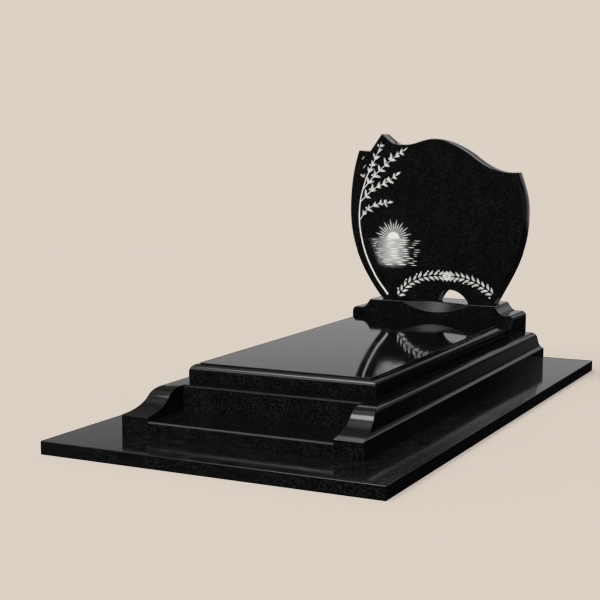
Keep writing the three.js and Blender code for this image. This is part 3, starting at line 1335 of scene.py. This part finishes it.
# The room that the polish mirrors, by direction: +Y is behind the headstone and Z is up. A step is
# an axis, where it starts and ends, and its levels before and after, if they aren't 0 and 1.
ABOVE_FLOOR = ("z", -0.12, -0.05)
BEHIND = ("y", -0.1, 0.7, 0.03, 1.0)
BACK_WALL_HEIGHTS = [
    (0, 0.62), (0.07, 0.57), (0.17, 0.45), (0.22, 0.27), (0.3, 0.12), (0.6, 0.08), (1, 0.05)
]
NOT_FAR_RIGHT = ("x", 0.42, 0.28)
ROUND_THE_RIGHT_GAP = [("x", 0.30, 0.20), ("z", 0.15, 0.11), ("z", 0.22, 0.26)]
DIM_LOW_RIGHT = [("x", 0.30, 0.05, 0.12, 1.0), ("z", 0.12, 0.20)]
BACK_PANEL = [
    BEHIND, ("x", -0.50, -0.34), ("x", 0.28, -0.2), ("z", 0.30, 0.37), ("z", 0.55, 0.47, 0.0, 0.75)
]
SIDE_WALLS = [ABOVE_FLOOR, ("outward", 0.60, 0.78), ("z", 0.7, 0.2, 0.0, 0.4)]
FRONT_WALL = [
    ABOVE_FLOOR, ("y", -0.25, -0.55), ("x", -0.25, 0.0), ("z", 0.7, 0.2, 0.0, 0.3)
]
# A lamp is its direction, its outer and inner radius in degrees, and its brightness.
ROOM_LAMPS = {
    "right rear": ((0.13, 0.95, 0.28), 8, 2, 0.35),
    "ceiling": ((-0.12, 0.1, 0.98), 34, 10, 0.65),
    "key": ((-0.33, -0.28, 0.9), 15, 1, 6.0),
    "front key": ((-0.5, -0.62, 0.6), 15, 5, 1.5),
}
ROOM_FLOOR_LEVEL = 0.01

FILL_PLACE = Vector((-1.0, -4.0, 2.2))
FILL_TARGET = Vector((0, 0, 0.5))
FILL_SIZE = 2.5
FILL_POWER = 250


def soft_area(tree, axes, steps, operation="MULTIPLY"):
    """An area of the room, from soft steps along its axes."""
    parts = []
    for axis, start, end, *levels in steps:
        low, high = levels or (0.0, 1.0)
        step = add_node(
            tree,
            "ShaderNodeMapRange",
            values={"From Min": start, "From Max": end, "To Min": low, "To Max": high},
            links={"Value": axes[axis]},
            interpolation_type="SMOOTHSTEP",
        )
        parts.append(step.outputs["Result"])
    return joined(tree, operation, *parts)


def studio_world():
    """A plain pale backdrop, and a room for the polish to mirror, brightest behind the monument."""
    world = bpy.data.worlds.new("studio")
    bpy.context.scene.world = world
    world.use_nodes = True
    tree = world.node_tree
    tree.nodes.clear()
    way = add_node(tree, "ShaderNodeTexCoord").outputs["Generated"]
    parts = add_node(tree, "ShaderNodeSeparateXYZ", links={"Vector": way})
    axes = {axis.lower(): parts.outputs[axis] for axis in "XYZ"}
    axes["outward"] = add_node(
        tree, "ShaderNodeMath", links={0: axes["x"]}, operation="ABSOLUTE"
    ).outputs["Value"]
    back_wall = joined(
        tree,
        "MULTIPLY",
        soft_area(tree, axes, [ABOVE_FLOOR, BEHIND]),
        height_curve(tree, axes["z"], BACK_WALL_HEIGHTS),
        soft_area(tree, axes, [NOT_FAR_RIGHT]),
        soft_area(tree, axes, ROUND_THE_RIGHT_GAP, "MAXIMUM"),
        soft_area(tree, axes, DIM_LOW_RIGHT, "MAXIMUM"),
    )
    other_walls = joined(
        tree, "MAXIMUM", soft_area(tree, axes, SIDE_WALLS), soft_area(tree, axes, FRONT_WALL)
    )
    lamps = [glow(tree, way, *lamp) for lamp in ROOM_LAMPS.values()]
    lit = joined(
        tree, "ADD", back_wall, soft_area(tree, axes, BACK_PANEL), other_walls, *lamps
    )
    lifted = add_node(
        tree,
        "ShaderNodeMath",
        values={1: ROOM_FLOOR_LEVEL},
        links={0: lit},
        operation="ADD",
    ).outputs["Value"]
    room = add_node(
        tree,
        "ShaderNodeBackground",
        values={"Color": (1, 1, 1, 1)},
        links={"Strength": lifted},
    )
    backdrop = add_node(
        tree,
        "ShaderNodeBackground",
        values={"Color": linear("#dcd1c5"), "Strength": 1.0},
    )
    ray = add_node(tree, "ShaderNodeLightPath").outputs["Is Camera Ray"]
    mixed = add_node(
        tree,
        "ShaderNodeMixShader",
        links={0: ray, 1: room.outputs["Background"], 2: backdrop.outputs["Background"]},
    )
    add_node(tree, "ShaderNodeOutputWorld", links={"Surface": mixed.outputs["Shader"]})


def front_fill():
    """A large soft light from the left front. It leaves no mirror image in the polish."""
    lamp = bpy.data.lights.new("front_fill", "AREA")
    lamp.shape = "RECTANGLE"
    lamp.size = lamp.size_y = FILL_SIZE
    lamp.energy = FILL_POWER
    lamp.use_shadow = False
    holder = bpy.data.objects.new("front_fill", lamp)
    holder.visible_glossy = False
    holder.visible_camera = False
    holder.location = FILL_PLACE
    holder.rotation_euler = (FILL_TARGET - FILL_PLACE).to_track_quat("-Z", "Y").to_euler()
    bpy.context.scene.collection.objects.link(holder)


def studio_camera():
    """The camera at the photograph's viewing angle."""
    sizes = setting("stage")
    data = bpy.data.cameras.new("camera")
    data.sensor_width = 36
    data.lens = sizes.lens
    camera = bpy.data.objects.new("camera", data)
    tilt = Euler((math.radians(90 - sizes.elevation), 0, math.radians(sizes.azimuth)))
    lean = Matrix.Rotation(math.radians(sizes.roll), 3, "Z")
    camera.matrix_world = (tilt.to_matrix() @ lean).to_4x4()
    camera.location = sizes.place
    bpy.context.scene.collection.objects.link(camera)
    bpy.context.scene.camera = camera


class MONUMENT_OT_stage(bpy.types.Operator):
    """Build the floor, the soft studio light and the camera"""

    bl_idname = "monument.stage"
    bl_label = "Stage"

    def execute(self, context):
        studio_camera()
        studio_floor()
        studio_world()
        front_fill()
        context.scene.view_settings.view_transform = "Standard"
        return {"FINISHED"}


class MONUMENT_PT_panel(bpy.types.Panel):
    """Lists the monument's pieces"""

    bl_idname = "MONUMENT_PT_panel"
    bl_label = "Grave monument"
    bl_space_type = "VIEW_3D"
    bl_region_type = "UI"
    bl_category = "Monument"

    def draw(self, context):
        for operator in OPERATORS:
            self.layout.operator(operator.bl_idname)
        for name in SETTINGS:
            group = getattr(context.scene, name)
            column = self.layout.column(heading=name)
            for prop in group.bl_rna.properties:
                if prop.identifier not in ("rna_type", "name"):
                    column.prop(group, prop.identifier)


OPERATORS = (
    MONUMENT_OT_stage,
    MONUMENT_OT_base,
    MONUMENT_OT_kerb_foot,
    MONUMENT_OT_kerb_rails,
    MONUMENT_OT_kerb_head,
    MONUMENT_OT_ledger,
    MONUMENT_OT_plinth,
    MONUMENT_OT_headstone,
)


def register():
    for group in SETTINGS.values():
        bpy.utils.register_class(group)
    for name, group in SETTINGS.items():
        setattr(bpy.types.Scene, name, bpy.props.PointerProperty(type=group))
    for operator in OPERATORS:
        bpy.utils.register_class(operator)
    bpy.utils.register_class(MONUMENT_PT_panel)


def unregister():
    bpy.utils.unregister_class(MONUMENT_PT_panel)
    for operator in reversed(OPERATORS):
        bpy.utils.unregister_class(operator)
    for name in SETTINGS:
        delattr(bpy.types.Scene, name)
    for group in reversed(SETTINGS.values()):
        bpy.utils.unregister_class(group)


def main():
    register()
    bpy.ops.monument.stage()
    bpy.ops.monument.base()
    bpy.ops.monument.kerb_foot()
    bpy.ops.monument.kerb_rails()
    bpy.ops.monument.kerb_head()
    bpy.ops.monument.ledger()
    bpy.ops.monument.plinth()
    bpy.ops.monument.headstone()


if __name__ == "__main__":
    main()
